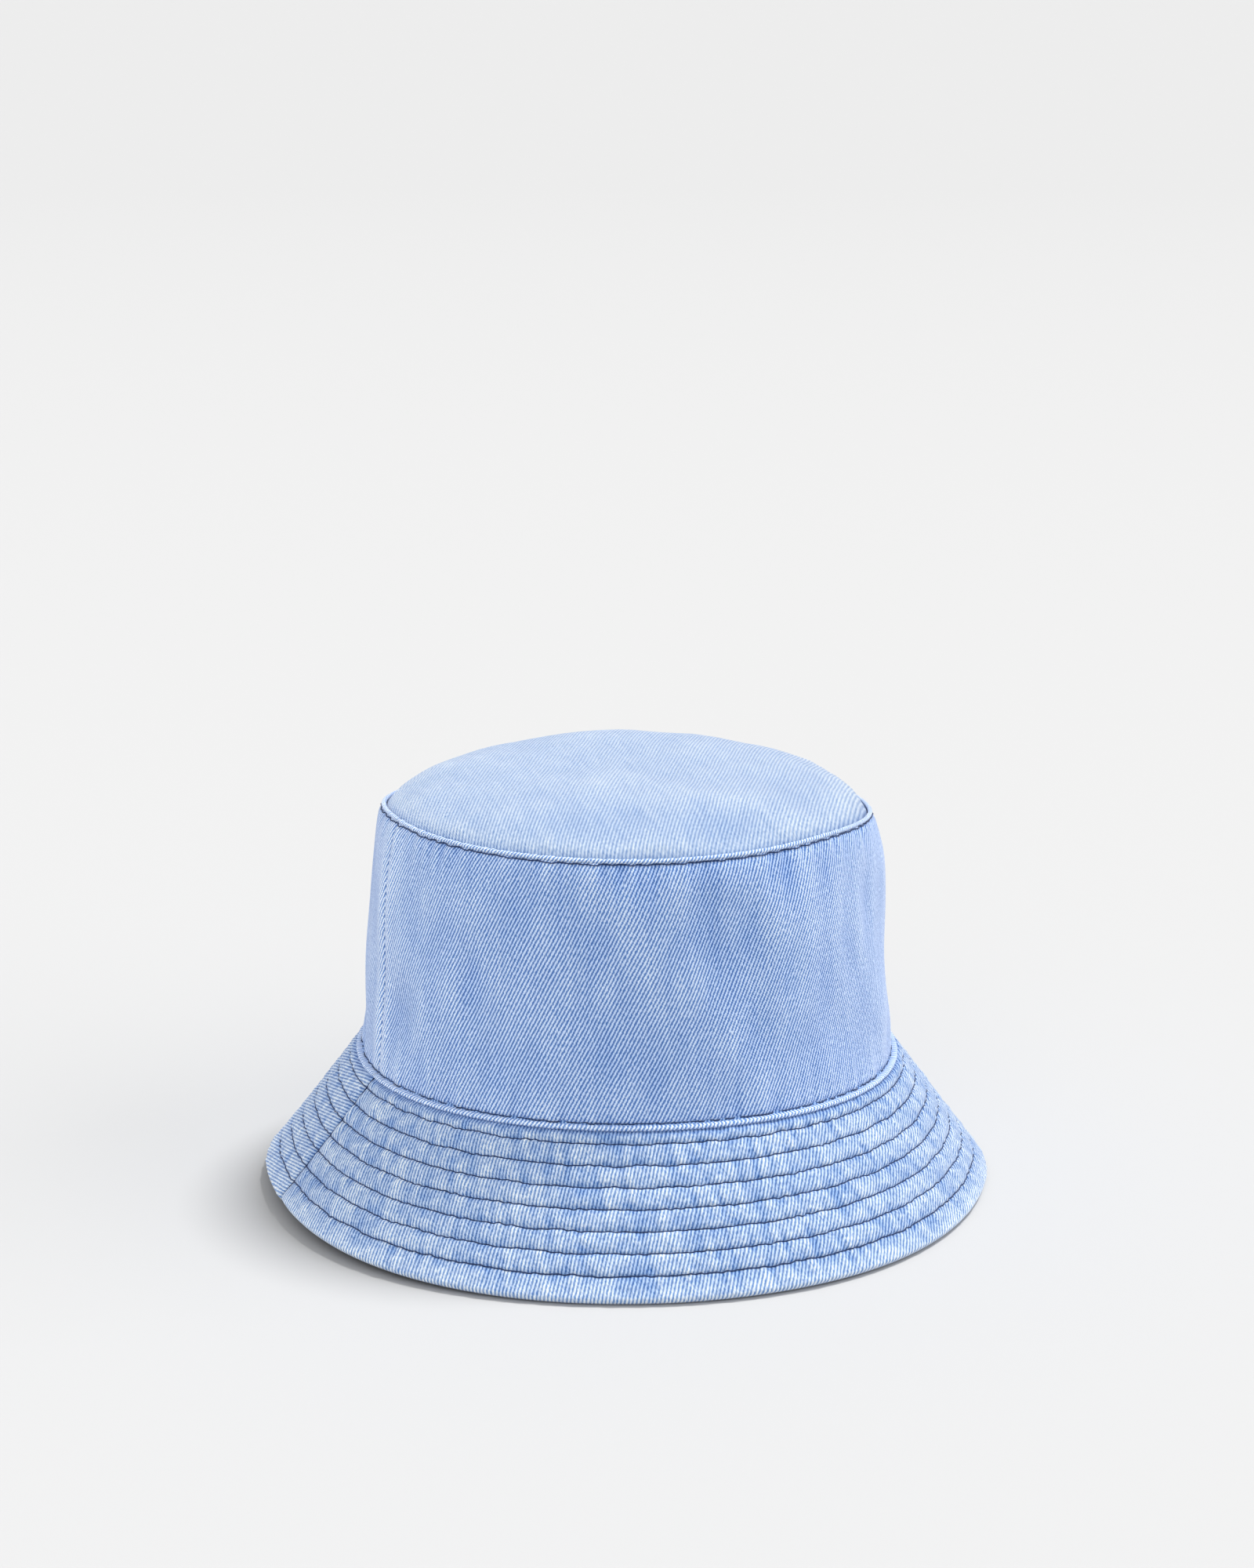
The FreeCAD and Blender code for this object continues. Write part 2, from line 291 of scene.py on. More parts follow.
def row_at(row, azimuth):
    """How far down the slope a row of stitching runs; row 0 is the crown's base seam."""
    if row == 0:
        return 2.6 + 0 * azimuth
    return ROWS[row - 1] + 0.24 * ROW_WOBBLE[row](azimuth) + 0.16 * ROW_JITTER[row](azimuth)


def channels(azimuth, down):
    """For each channel of cloth: its number, which places are in it, and how far across it they lie."""
    edges = [row_at(row, azimuth) for row in range(CHANNELS)] + [SLANT + 3 + 0 * azimuth]
    for i, (start, end) in enumerate(zip(edges, edges[1:])):
        yield i, (down >= start) & (down < end), np.clip((down - start) / (end - start), 0, 1)


def brim_end(azimuth):
    """Where the cloth turns round the edge.

    The front panel stops a little short at the side seams, which leaves a notch.
    """
    side = from_seam(azimuth, RIM_R)
    short = 0.9 * np.exp(-np.maximum(-side, 0) / 5)
    return SLANT - np.where(side < 0, short, 0.15)


def brim_gather(azimuth, down, puckers):
    """The puckers that run from row to row, between -1 and 1. They lean a little and change at each row."""
    slanted = azimuth - 0.0012 * (down - SLANT / 2)
    total = np.zeros(np.broadcast(azimuth, down).shape)
    for i, inside, t in channels(azimuth, down):
        gather = (1 - t) * puckers[i](slanted) + t * puckers[i + 1](slanted) * (i < ROW_COUNT)
        total = np.where(inside, gather, total)
    return total


def brim_relief(azimuth, down, puckers):
    """How far the brim's cloth stands out between its rows of stitching, in mm."""
    total = 0.3 * brim_gather(azimuth, down, puckers) + 0.16 * BRIM_CRUMPLE(azimuth * BASE_R, down)
    total = total * rise(down / 4)
    for i, inside, t in channels(azimuth, down):
        puff = (0.75 + 0.18 * CHANNEL_SWELL[i](azimuth)) * (4 * t * (1 - t)) ** 0.55
        if i == ROW_COUNT:
            puff = 0.9 * (1 - (1 - t) ** 3)
        total = total + np.where(inside, puff, 0)
    for row in range(1, CHANNELS):
        total = total - 0.4 * hump(down - row_at(row, azimuth), 0.5)
    total = total - 0.7 * hump(down - row_at(0, azimuth) - 0.3, 0.8)
    side = from_seam(azimuth, BASE_R + OUT * down)
    total = total * (1 - 0.6 * hump(side, 1.6)) - 0.55 * hump(side, 0.9)
    return total + 0.3 * hump(np.abs(side) - 3.0, 1.6)


def brim_point(azimuth, down, lift):
    """A point on the brim, lift mm over its smooth upper face."""
    radius = BASE_R + OUT * down + DROP * lift
    height = BASE_Z - DROP * down + OUT * lift
    return ring_point(azimuth, radius, height)


# Meshes.


def placed(name, data):
    """A new object in the scene."""
    thing = bpy.data.objects.new(name, data)
    bpy.context.scene.collection.objects.link(thing)
    return thing


def sheet(name, parts, texture, around=False, wear_and_shade=None, flip=False):
    """A closed mesh from grids of points, the first axis round the hat, the second round the section.

    The parts follow each other round the section, which flip turns the other way. around joins the last
    column to the first; without it, both ends are capped. texture holds a distance in mm for each point,
    across and along the cloth, with one more row, and one more column if around. wear_and_shade gives how
    pale each part is, from fading and from painted shade, as one number or one for each point.
    """
    order = slice(None, None, -1 if flip else 1)
    points = np.concatenate(parts, axis=1)[:, order]
    columns, rows = points.shape[:2]
    i, j = np.meshgrid(np.arange(columns - (not around)), np.arange(rows), indexing="ij")
    i, j = i.ravel(), j.ravel()
    i2, j2 = (i + 1) % columns, (j + 1) % rows
    faces = np.stack([i * rows + j, i2 * rows + j, i2 * rows + j2, i * rows + j2], axis=1).tolist()
    corners = [texture[i, j], texture[i + 1, j], texture[i + 1, j + 1], texture[i, j + 1]]
    flat = np.stack(corners, axis=1).reshape(-1, 2)
    if not around:
        last = (columns - 1) * rows
        faces += [list(range(rows)), [last + k for k in reversed(range(rows))]]
        flat = np.concatenate([flat, texture[0, :rows], texture[columns - 1, :rows][::-1]])
    mesh = bpy.data.meshes.new(name)
    mesh.from_pydata((settle(points).reshape(-1, 3) * MM).tolist(), [], faces)
    mesh.uv_layers.new(name="UVMap").data.foreach_set("uv", flat.astype(np.float32).ravel())
    if wear_and_shade is not None:
        faded = [np.broadcast_to(value, part.shape[:2]) for value, part in zip(wear_and_shade, parts)]
        faded = np.clip(np.concatenate(faded, axis=1)[:, order], 0, 1)
        attribute = mesh.attributes.new("wear_and_shade", "FLOAT", "POINT")
        attribute.data.foreach_set("value", faded.astype(np.float32).ravel())
    mesh.polygons.foreach_set("use_smooth", [True] * len(mesh.polygons))
    mesh.update()
    return placed(name, mesh)


def joined(name, parts):
    """One piece from several, keeping their texture coordinates."""
    bpy.ops.object.select_all(action="DESELECT")
    for part in parts:
        part.select_set(True)
    bpy.context.view_layer.objects.active = parts[0]
    bpy.ops.object.join()
    parts[0].name = name
    parts[0].data.name = name
    return parts[0]


def padded(values):
    """One more sample at the end, the same step on."""
    return np.concatenate([values, [2 * values[-1] - values[-2]]])


def grid(across, along):
    """Texture distances for a piece that unrolls into a rectangle."""
    return np.stack(np.meshgrid(across, along, indexing="ij"), axis=-1)


def disc(azimuths, radii, grain=0):
    """Texture distances for a round piece, with its grain turned by an angle."""
    return ring_point(padded(azimuths)[:, None] + grain, padded(radii), 0)[..., :2]


def cone(azimuths, downs, facing):
    """Texture distances for half the brim, a cone's panel opened out flat."""
    reach = BASE_R / OUT + padded(downs)
    angle = (azimuths[:, None] - facing) * OUT
    return np.stack([reach * np.sin(angle), -reach * np.cos(angle)], axis=-1)


def full_turn(count):
    """Evenly spaced azimuths all the way round."""
    return np.linspace(0, TURN, count, endpoint=False)


def panel_azimuths(facing, radius, step):
    """Evenly spaced azimuths across a half panel that stops just short of both side seams."""
    gap = 0.12 / radius
    count = int(TURN / 2 * radius / step)
    return np.linspace(facing - TURN / 4 + gap, facing + TURN / 4 - gap, count)


def spaced(start, end, step, close_to):
    """Samples from start to end, with closer ones round the given places."""
    samples = list(np.linspace(start, end, max(2, int(round((end - start) / step)) + 1)))
    for place in close_to:
        samples = [s for s in samples if abs(s - place) > 0.9 * step or s in (start, end)]
        samples += [place + shift for shift in (-0.8, -0.4, 0, 0.4, 0.8)]
    return np.array(sorted(s for s in samples if start <= s <= end))


# The crown's panels.


def crown_side(name, facing):
    """A crown side panel: a folded hem that lies on the brim, the wall, and the tip seam's ridge."""
    azimuths = panel_azimuths(facing, BASE_R, 0.85)
    a = azimuths[:, None]
    hem = np.radians(np.linspace(-185, 50, 10))
    wall = spaced(HEM_Z + EDGE - 0.4, CORD_Z - EDGE + 0.3, 1.15, (HEM_Z + EDGE, CORD_Z - EDGE))
    cord = np.radians(np.linspace(-50, 185, 10))
    back = np.linspace(CORD_Z - 3.5, HEM_Z + 2.5, 16)
    pinch = 1 - 0.25 * hump(from_seam(a, BASE_R), 1.2)
    hem_r = HEM_ROUND * (1 + 0.09 * RIDGE_LUMPS(a + 1) + 0.06 * BASE_PUCKER(a)) * pinch
    cord_r = CORD_ROUND * (1 + 0.13 * RIDGE_LUMPS(a) + 0.1 * TIP_PUCKER(a)) * pinch
    relief = crown_relief(a, wall)
    parts = [
        ring_point(a, BASE_R + 0.9 + hem_r * np.cos(hem), HEM_Z + 1.0 + hem_r * np.sin(hem)),
        wall_point(a, wall, relief),
        ring_point(a, TIP_R + cord_r * np.cos(cord), CORD_Z - 1.1 + cord_r * np.sin(cord)),
        wall_point(a, back, -WALL),
    ]
    near_seams = 0.2 * hump(from_seam(a, BASE_R), 14) + 0.25 * hump(from_seam(a, BASE_R), 3)
    wall_wear = 0.48 + 0.55 * relief + 0.08 * crown_soft(a, wall) + near_seams
    # The hem's entry is painted shade and light by angle: its faces that turn down are dark, those that turn
    # up fully faded.
    wear_and_shade = [rise((hem + 0.9) / 0.7), wall_wear, 0.95, 0.3]
    section = np.concatenate([HEM_Z + 1 + hem, wall, CORD_Z - 0.5 + cord, back])
    return sheet(name, parts, grid(azimuths * BASE_R, padded(section)), wear_and_shade=wear_and_shade)


# The tip's smooth edge lies TIP_FOOT mm under the ridge. It is tucked in TUCK mm deeper, and its middle
# swells up PILLOW mm.
TIP_FOOT = 1.0
TUCK = 1.6
PILLOW = TIP_TOP - CORD_Z + TIP_FOOT + 0.8


def tip_dome(radius, edge):
    """Height of the smooth tip."""
    return CORD_Z - TIP_FOOT + PILLOW * (1 - (radius / edge) ** 6)


def tip_height(azimuth, radius, edge):
    """Height of the tip, with soft dents and puckers that fade towards the middle."""
    x, y = radius * np.sin(azimuth), -radius * np.cos(azimuth)
    inward = edge - radius
    puckers = 0.5 * TIP_EDGE_PUCKER(azimuth) * np.exp(-inward / 8)
    puckers = puckers + 0.7 * TIP_SLOW(azimuth) * hump(inward - 12, 10)
    dents = 0.7 * TIP_BILLOW(x, y) + 0.15 * TIP_CREASE(x, y)
    fuller = 1.8 * hump(view_side(azimuth) - 100, 40) * hump(inward - 6, 7)
    height = tip_dome(radius, edge) - TUCK * np.exp(-inward / 1.2)
    return height + (puckers + dents + fuller) * rise(inward / 5)


def tip(name):
    """The round tip panel, a thin cushion shape tucked inside the ridge of the side panels."""
    edge = TIP_R - 0.6
    azimuths = full_turn(440)
    a = azimuths[:, None]
    upper = np.concatenate([np.linspace(0.02, edge - 8, 60), np.linspace(edge - 7, edge, 14)])
    lower = np.linspace(edge - 0.2, 0.02, 26)
    top = tip_height(a, upper, edge)
    parts = [ring_point(a, upper, top), ring_point(a, lower, tip_height(a, lower, edge) - DENIM)]
    face_wear_and_shade = 0.5 + 0.3 * (top - tip_dome(upper, edge))
    # Painted shade darkens the tip's edge where it tucks under the ridge; a band about 4 mm inside it is
    # paler.
    face_wear_and_shade = face_wear_and_shade + 0.25 * hump(upper - edge + 4, 2.5) - 0.6 * hump(upper - edge, 1.4)
    texture = disc(azimuths, np.concatenate([upper, lower]), math.radians(7))
    return sheet(name, parts, texture, around=True, wear_and_shade=[face_wear_and_shade, 0.3])


# The brim's panels and filling.


def brim_wear_and_shade(azimuth, down, relief, gather):
    """How pale a brim panel is: paler on puffs and pucker crests, from wear and painted shade, paler in
    blotches and at the margin from wear, and darker by the crown, where painted shadow lies under the hem.
    """
    arc = azimuth * BASE_R
    # The pucker term is wear and painted shade: paler on pucker crests, darker in their hollows.
    streaks_and_shade = 0.24 * gather + 0.2 * BRIM_BLOTCH(arc, down * 0.6) + 0.16 * BRIM_CRUMPLE(arc, down)
    margin = 0.2 * rise((down - ROWS[-1] - 1) / 5)
    # Puffs are paler and the rows darker, from wear and painted shade. The last term is painted shadow that
    # darkens the brim under the crown's hem.
    return 0.42 + 0.3 * (relief - 0.5) + streaks_and_shade + margin - 0.7 * (1 - rise((down - 2) / 3.5))


def brim_panel(name, facing, under):
    """A top or under panel of the brim: a quilted face that rounds over the edge to meet its twin."""
    azimuths = panel_azimuths(facing, RIM_R, 1.05 if under else 0.95)
    a = azimuths[:, None]
    puckers = UNDER_PUCKER if under else BRIM_PUCKER
    middle, outward = -BRIM_THICK / 2, -1 if under else 1
    edge_r = BRIM_THICK / 2 + 0.25
    straight = SLANT - edge_r
    down = spaced(-1.6, straight, 1.0, [2.8, *ROWS])
    turn = np.radians(np.linspace(15, 90, 6))
    back = np.linspace(straight - 0.4, -1.6, 10)
    end = brim_end(a) - edge_r
    face_down = down + (end - straight) * rise((down - ROWS[-1]) / (SLANT - ROWS[-1]))
    relief = brim_relief(a, face_down, puckers)
    shown = rise((down + 1.6) / 5)
    if under:
        lift = -BRIM_THICK - relief * 0.8 * shown
    else:
        lift = relief * shown - 0.6 * (1 - shown)
    edge_lift = (edge_r + brim_relief(a, end, puckers) - 0.25) * np.cos(turn)
    parts = [
        brim_point(a, face_down, lift),
        brim_point(a, end + edge_r * np.sin(turn), middle + outward * edge_lift),
        brim_point(a, np.minimum(back, end), middle + outward * 0.45),
    ]
    wear_and_shade = [brim_wear_and_shade(a, down, relief, brim_gather(a, face_down, puckers)), 0.85, 0.3]
    section = np.concatenate([down, straight + turn, back])
    if under:
        section = section[::-1]
    return sheet(name, parts, cone(azimuths, section, facing), wear_and_shade=wear_and_shade, flip=under)


def brim_ring(name, start, end):
    """A plain layer inside the brim, between its top and under panels."""
    azimuths = full_turn(300)
    a = azimuths[:, None]
    down = np.linspace(start, end, max(4, int((end - start) / 2.5)))
    middle = -BRIM_THICK / 2
    top = brim_point(a, down, middle + BRIM_FILL / 2)
    bottom = brim_point(a, down[::-1], middle - BRIM_FILL / 2)
    section = padded(np.concatenate([down, down[::-1]]))
    return sheet(name, [top, bottom], grid(padded(azimuths) * BASE_R, section), around=True)


# Threads, with six-sided sections.

SECTION = TURN * np.arange(6) / 6


def thread_section(side, outward):
    """Corners of a thread's section, as directions from its middle."""
    return np.cos(SECTION)[:, None] * side + np.sin(SECTION)[:, None] * outward


def stitch_round(name, radius, path, outward=1):
    """A round of stitches: a thread that rises between its needle holes and dips into the cloth at each.

    path(azimuth, lift, across) gives points lift mm out of the cloth and across mm to its side.
    """
    stitches = int(round(TURN * radius / STITCH))
    steps = np.arange(stitches * STITCH_STEPS)
    azimuths = TURN * steps / len(steps)
    t = np.mod(steps / STITCH_STEPS, 1)
    arch = np.sin(math.pi * np.clip(t, 0.04, 0.96)) ** 0.6
    skew = np.repeat(np.random.default_rng(stitches).normal(0, 0.09, stitches), STITCH_STEPS)
    size = (FINE * (0.8 + 0.25 * arch))[:, None]
    lift = (0.10 + 0.14 * arch)[:, None] + size * np.sin(SECTION)
    across = (skew * (t - 0.5) * 2)[:, None] + size * np.cos(SECTION)
    points = path(azimuths[:, None], outward * lift, outward * across)
    return sheet(name, [points], grid(padded(azimuths) * BASE_R, padded(SECTION) * THREAD), around=True)


def brim_row(name, row):
    """One row of lockstitch: the needle thread on top and the bobbin thread underneath."""
    radius = BASE_R + OUT * ROWS[row - 1]

    def needle(azimuth, lift, across):
        down = row_at(row, azimuth)
        return brim_point(azimuth, down + across, brim_relief(azimuth, down, BRIM_PUCKER) + lift + 0.12)

    def bobbin(azimuth, lift, across):
        down = row_at(row, azimuth)
        under = -BRIM_THICK - 0.8 * brim_relief(azimuth, down, UNDER_PUCKER)
        return brim_point(azimuth, down + across, under + lift - 0.1)

    top = stitch_round(name + "_needle", radius, needle)
    bottom = stitch_round(name + "_bobbin", radius, bobbin, outward=-1)
    return joined(name, [top, bottom])


def crown_stitch(name, height):
    """A round of edge stitching on the crown."""

    def path(azimuth, lift, across):
        radius = crown_radius(height) + crown_soft(azimuth, height) + crown_relief(azimuth, height)
        return ring_point(azimuth, radius + lift + 0.08, height + across)

    return stitch_round(name, crown_radius(height), path)


def seam_thread(name, seam, length, point):
    """A plain thread down the bottom of a side seam."""
    share = np.linspace(0, 1, int(length / 1.2))[:, None]
    wander = 0.12 * ripple(int(length) + int(seam * 10), 60)(share)
    side = np.array([math.cos(seam), math.sin(seam), 0])
    outward = np.array([math.sin(seam), -math.cos(seam), 0])
    thickness = 0.22
    points = point(seam, share) + thickness * thread_section(side, outward) + wander[..., None] * side
    return sheet(name, [points], grid(share[:, 0] * length, padded(SECTION) * thickness))


def side_threads(name, length, point):
    """The threads of both side seams. point(azimuth, share) gives a place on a seam."""
    return joined(name, [seam_thread(f"{name}_{k}", seam, length, point) for k, seam in enumerate(SEAMS)])


def up_the_wall(inset, short):
    """The line of a seam up the crown, inset mm inside its outer face."""
    return lambda azimuth, share: wall_point(azimuth, BASE_Z + 1 + share * (TIP_Z - BASE_Z - short), -inset)


def down_the_brim(lift, short):
    """The line of a seam down the brim."""
    return lambda azimuth, share: brim_point(azimuth, 0.5 + share * (SLANT - short), lift)


def plain_round(name, radius, height):
    """A round of twisted thread inside the hat."""
    azimuths = full_turn(500)
    a = azimuths[:, None]
    size = FINE * (1 + 0.15 * np.sin(a * 230))
    points = ring_point(a, radius + size * np.cos(SECTION), height + size * np.sin(SECTION))
    return sheet(name, [points], grid(padded(azimuths) * BASE_R, padded(SECTION) * FINE), around=True)


def straight_stitches(name, start, end, high):
    """Stitches along one edge of the size label, which curves down from its highest point."""
    length = np.linalg.norm(end - start)
    stitches = max(2, int(length / 2.4))
    t = np.linspace(0, 1, stitches * STITCH_STEPS + 1)
    arch = np.abs(np.sin(math.pi * stitches * t)) ** 0.6
    x, y = (start + t[:, None] * (end - start)).T
    height = high[2] - 0.05 - 0.35 * (x / high[0]) ** 2 - 0.12 * arch
    along = (end - start) / length
    across = np.array([-along[1], along[0], 0])
    size = 0.16 * (0.7 + 0.3 * arch)[:, None, None]
    centre = np.stack([x, y, height], axis=-1)[:, None, :]
    points = centre + size * thread_section(across, np.array([0, 0, 1]))
    return sheet(name, [points], grid(t * length, padded(SECTION)))


def label_stitches(name):
    """A rectangle of stitches round the size label."""
    low, high = box_mm("size_label_stitches")
    corners = 0.99 * np.array([low[:2], (high[0], low[1]), high[:2], (low[0], high[1])])
    edges = zip(corners, np.roll(corners, -1, axis=0))
    return joined(name, [straight_stitches(f"{name}_{k}", *edge, high) for k, edge in enumerate(edges)])


# Lining, tape and labels.


def lining_side(name, facing):
    """Half the side lining: a thin sheet just inside the denim."""
    azimuths = panel_azimuths(facing, BASE_R, 2.2)
    a = azimuths[:, None]
    heights = np.linspace(BASE_Z + 0.4, CORD_Z - 3, 44)
    lift = 0.2 * LINING_CREASE(a * BASE_R, heights) - WALL - 0.4
    outer = wall_point(a, heights, lift)
    inner = wall_point(a, heights, lift - LINING_THICK)[:, ::-1]
    section = padded(np.concatenate([heights, heights[::-1]]))
    return sheet(name, [outer, inner], grid(azimuths * BASE_R, section))


def tip_lining(name):
    """The round of lining under the tip."""
    edge = TIP_R - 1.6
    azimuths = full_turn(180)
    a = azimuths[:, None]
    radii = np.linspace(0.02, edge, 34)
    height = tip_height(a, radii, edge + 0.6) - DENIM - 0.75 - 0.4 * rise((radii - edge + 4) / 4)
    height = height + 0.15 * LINING_CREASE(radii * np.sin(a), radii * np.cos(a))
    top = ring_point(a, radii, height)
    bottom = ring_point(a, radii, height - LINING_THICK)[:, ::-1]
    texture = disc(azimuths, np.concatenate([radii, radii[::-1]]))
    return sheet(name, [top, bottom], texture, around=True)


def band(name, gap, thick, low, high, azimuths, around=False):
    """A flat tape with rounded edges that stands against the wall inside, gap mm away from it."""
    a = azimuths[:, None]
    half = thick / 2
    rounding = np.radians(np.linspace(0, 180, 5))
    edge, bend = half * np.cos(rounding), half * np.sin(rounding)
    climb = np.linspace(low + half, high - half, 12)
    face = np.full(len(climb), half)
    out = np.concatenate([face, edge, -face, -edge])
    section = np.concatenate([climb, high - half + bend, climb[::-1], low + half - bend])
    wave = 0.12 * BAND_WAVE(a) * rise((section - low) / (high - low))
    points = wall_point(a, section, out + wave - WALL - gap - half)
    texture = grid(padded(azimuths) * HEAD_R, padded(section + out))
    return sheet(name, [points], texture, around=around)


def size_label(name):
    """A blank woven label, sewn flat under the tip lining; its short edges curl a little."""
    low, high = box_mm("size_label")
    x = np.linspace(low[0], high[0], 40)[:, None]
    y = np.linspace(low[1], high[1], 20)
    curl = 0.25 * (np.abs(x) / high[0]) ** 6
    height = high[2] - 0.35 * (x / high[0]) ** 2 - 0.1 * (y / high[1]) ** 2 - curl
    top = np.stack(np.broadcast_arrays(x, y, height), axis=-1)
    bottom = (top - [0, 0, RIBBON_THICK])[:, ::-1]
    return sheet(name, [top, bottom], grid(x[:, 0], padded(np.concatenate([y, y[::-1]]))))


# Materials.


def linear(red, green, blue):
    """A colour given in 0 to 255 as it looks on a screen, for a shader."""
    levels = [c / 255 for c in (red, green, blue)]
    return [c / 12.92 if c <= 0.04045 else ((c + 0.055) / 1.055) ** 2.4 for c in levels] + [1]


class Surface:
    """A material under construction, with short calls for its nodes."""

    def __init__(self, name, roughness, sheen=0.0, specular=0.25):
        self.material = bpy.data.materials.new(name)
        self.material.use_nodes = True
        self.nodes, self.links = self.material.node_tree.nodes, self.material.node_tree.links
        self.shader = next(n for n in self.nodes if n.type == "BSDF_PRINCIPLED")
        self.shader.inputs["Roughness"].default_value = roughness
        self.shader.inputs["Sheen Weight"].default_value = sheen
        self.shader.inputs["Sheen Roughness"].default_value = 0.4
        self.shader.inputs["Specular IOR Level"].default_value = specular

    def node(self, kind, inputs, output=0, **settings):
        """A new node's output, with values or other nodes' outputs fed to its inputs."""
        node = self.nodes.new("ShaderNode" + kind)
        for setting, value in settings.items():
            setattr(node, setting, value)
        for key, value in inputs.items():
            self.feed(node.inputs[key], value)
        return node.outputs[output]

    def feed(self, socket, value):
        """Gives an input another node's output, or a plain value."""
        if hasattr(value, "is_output"):
            self.links.new(value, socket)
        else:
            socket.default_value = value

    def math(self, operation, *values, clamp=False):
        return self.node("Math", dict(enumerate(values)), operation=operation, use_clamp=clamp)

    def add(self, first, second, clamp=False):
        return self.math("ADD", first, second, clamp=clamp)

    def times(self, first, second):
        return self.math("MULTIPLY", first, second)

    def lifted(self, wave):
        """Brings a wave between -1 and 1 to between 0 and 1."""
        return self.math("MULTIPLY_ADD", wave, 0.5, 0.5)

    def varied(self, value, noise, amount):
        """Moves a value up and down with a noise between 0 and 1."""
        return self.math("MULTIPLY_ADD", self.math("SUBTRACT", noise, 0.5), amount, value)

    def cloth_mm(self):
        """Distances across and along the cloth."""
        across = self.node("SeparateXYZ", {0: self.node("UVMap", {}, uv_map="UVMap")}, "X")
        return across, across.node.outputs["Y"]

    def noise(self, x, y, scale_x, scale_y, detail, seed=0.0):
        """Noise between 0 and 1 with a crest about every 1 / scale mm each way."""
        at = self.node("CombineXYZ", {0: self.times(x, scale_x), 1: self.times(y, scale_y), 2: seed})
        return self.node("TexNoise", {"Vector": at, "Scale": 1.0, "Detail": detail})

    def span(self, value, low, high, new_low, new_high):
        """Takes a value between low and high to between new_low and new_high."""
        return self.node("MapRange", dict(enumerate((value, low, high, new_low, new_high))))

    def mix(self, share, first, second, blend="MIX"):
        inputs = {0: share, 6: first, 7: second}
        return self.node("Mix", inputs, output=2, data_type="RGBA", blend_type=blend)

    def finish(self, colour, height=None, depth=0.1, roughness=None):
        """Sets the colour, and a bump from a height between 0 and 1 that is depth mm deep."""
        self.feed(self.shader.inputs["Base Color"], colour)
        if roughness is not None:
            self.feed(self.shader.inputs["Roughness"], roughness)
        if height is not None:
            bump = self.node("Bump", {"Distance": depth * MM, "Height": height})
            self.feed(self.shader.inputs["Normal"], bump)
        return self.material


# The twill's ridges repeat every WALE mm across the cloth and every CLIMB mm along it.
WALE = 1.35
CLIMB = 2.65
YARN = 0.335


def twill(cloth, x, y):
    """Diagonal ridges of warp floats: the number of the yarn at each place, the crests and the height."""
    yarns = cloth.math("DIVIDE", x, YARN)
    yarn = cloth.math("FLOOR", yarns)
    phase = cloth.math("SUBTRACT", cloth.times(yarn, YARN / WALE), cloth.math("DIVIDE", y, CLIMB))
    phase = cloth.add(phase, cloth.times(cloth.noise(yarn, y, 0.73, 0.045, 2.0, 7.0), 0.22))
    crest = cloth.lifted(cloth.math("COSINE", cloth.times(phase, TURN)))
    rounded = cloth.math("SINE", cloth.times(cloth.math("FRACT", yarns), math.pi))
    height = cloth.times(cloth.math("POWER", crest, 0.8), cloth.span(rounded, 0, 1, 0.75, 1.0))
    return yarn, crest, height


def denim(name, contrast, tint_and_shade, wear_and_shade_gain=1.0):
    """Washed blue denim: twill over a paler weft, faded where the cloth stands proud. The wear_and_shade
    attribute and the tint also carry painted shade.
    """
    cloth = Surface(name, roughness=0.92, sheen=0.4)
    x, y = cloth.cloth_mm()
    x = cloth.add(x, cloth.times(cloth.noise(x, y, 0.045, 0.03, 1.0, 3.0), 1.6))
    yarn, crest, height = twill(cloth, x, y)
    wear_and_shade = cloth.node("Attribute", {}, "Fac", attribute_name="wear_and_shade")
    fade_and_shade = cloth.varied(0.5, wear_and_shade, wear_and_shade_gain)
    fade_and_shade = cloth.varied(fade_and_shade, cloth.noise(x, y, 0.07, 0.05, 4.0, 11.0), 0.6 * wear_and_shade_gain)
    fade_and_shade = cloth.varied(fade_and_shade, cloth.noise(x, y, 0.5, 0.06, 2.0, 13.0), 0.6)
    fade_and_shade = cloth.add(fade_and_shade, 0.0, clamp=True)
    lit = cloth.varied(0.5, crest, contrast)
    lit = cloth.varied(lit, cloth.noise(x, y, 1.7, 0.9, 2.0, 17.0), 1.5 * contrast)
    lit = cloth.varied(lit, cloth.noise(yarn, y, 3.7, 0.9, 1.0, 23.0), 0.9 * contrast)
    valley = cloth.mix(fade_and_shade, linear(36, 86, 158), linear(102, 142, 202))
    ridge = cloth.mix(fade_and_shade, linear(156, 188, 238), linear(236, 244, 254))
    colour = cloth.mix(cloth.add(lit, 0.0, clamp=True), valley, ridge)
    colour = cloth.mix(1.0, colour, [*tint_and_shade, 1], "MULTIPLY")
    return cloth.finish(colour, height, 0.35, cloth.span(fade_and_shade, 0, 1, 0.88, 0.97))


def twisted_thread(name, dark, light):
    """Sewing thread: two plies that show as slanting bands."""
    cloth = Surface(name, roughness=0.55, sheen=0.1)
    x, y = cloth.cloth_mm()
    lay = cloth.add(cloth.times(x, TURN / 0.6), cloth.times(y, TURN / 0.5))
    ply = cloth.lifted(cloth.math("SINE", lay))
    uneven = cloth.span(cloth.noise(x, y, 0.11, 0.1, 2.0), 0.3, 0.7, 0.4, 1.0)
    return cloth.finish(cloth.mix(cloth.times(ply, uneven), dark, light), ply, 0.05)


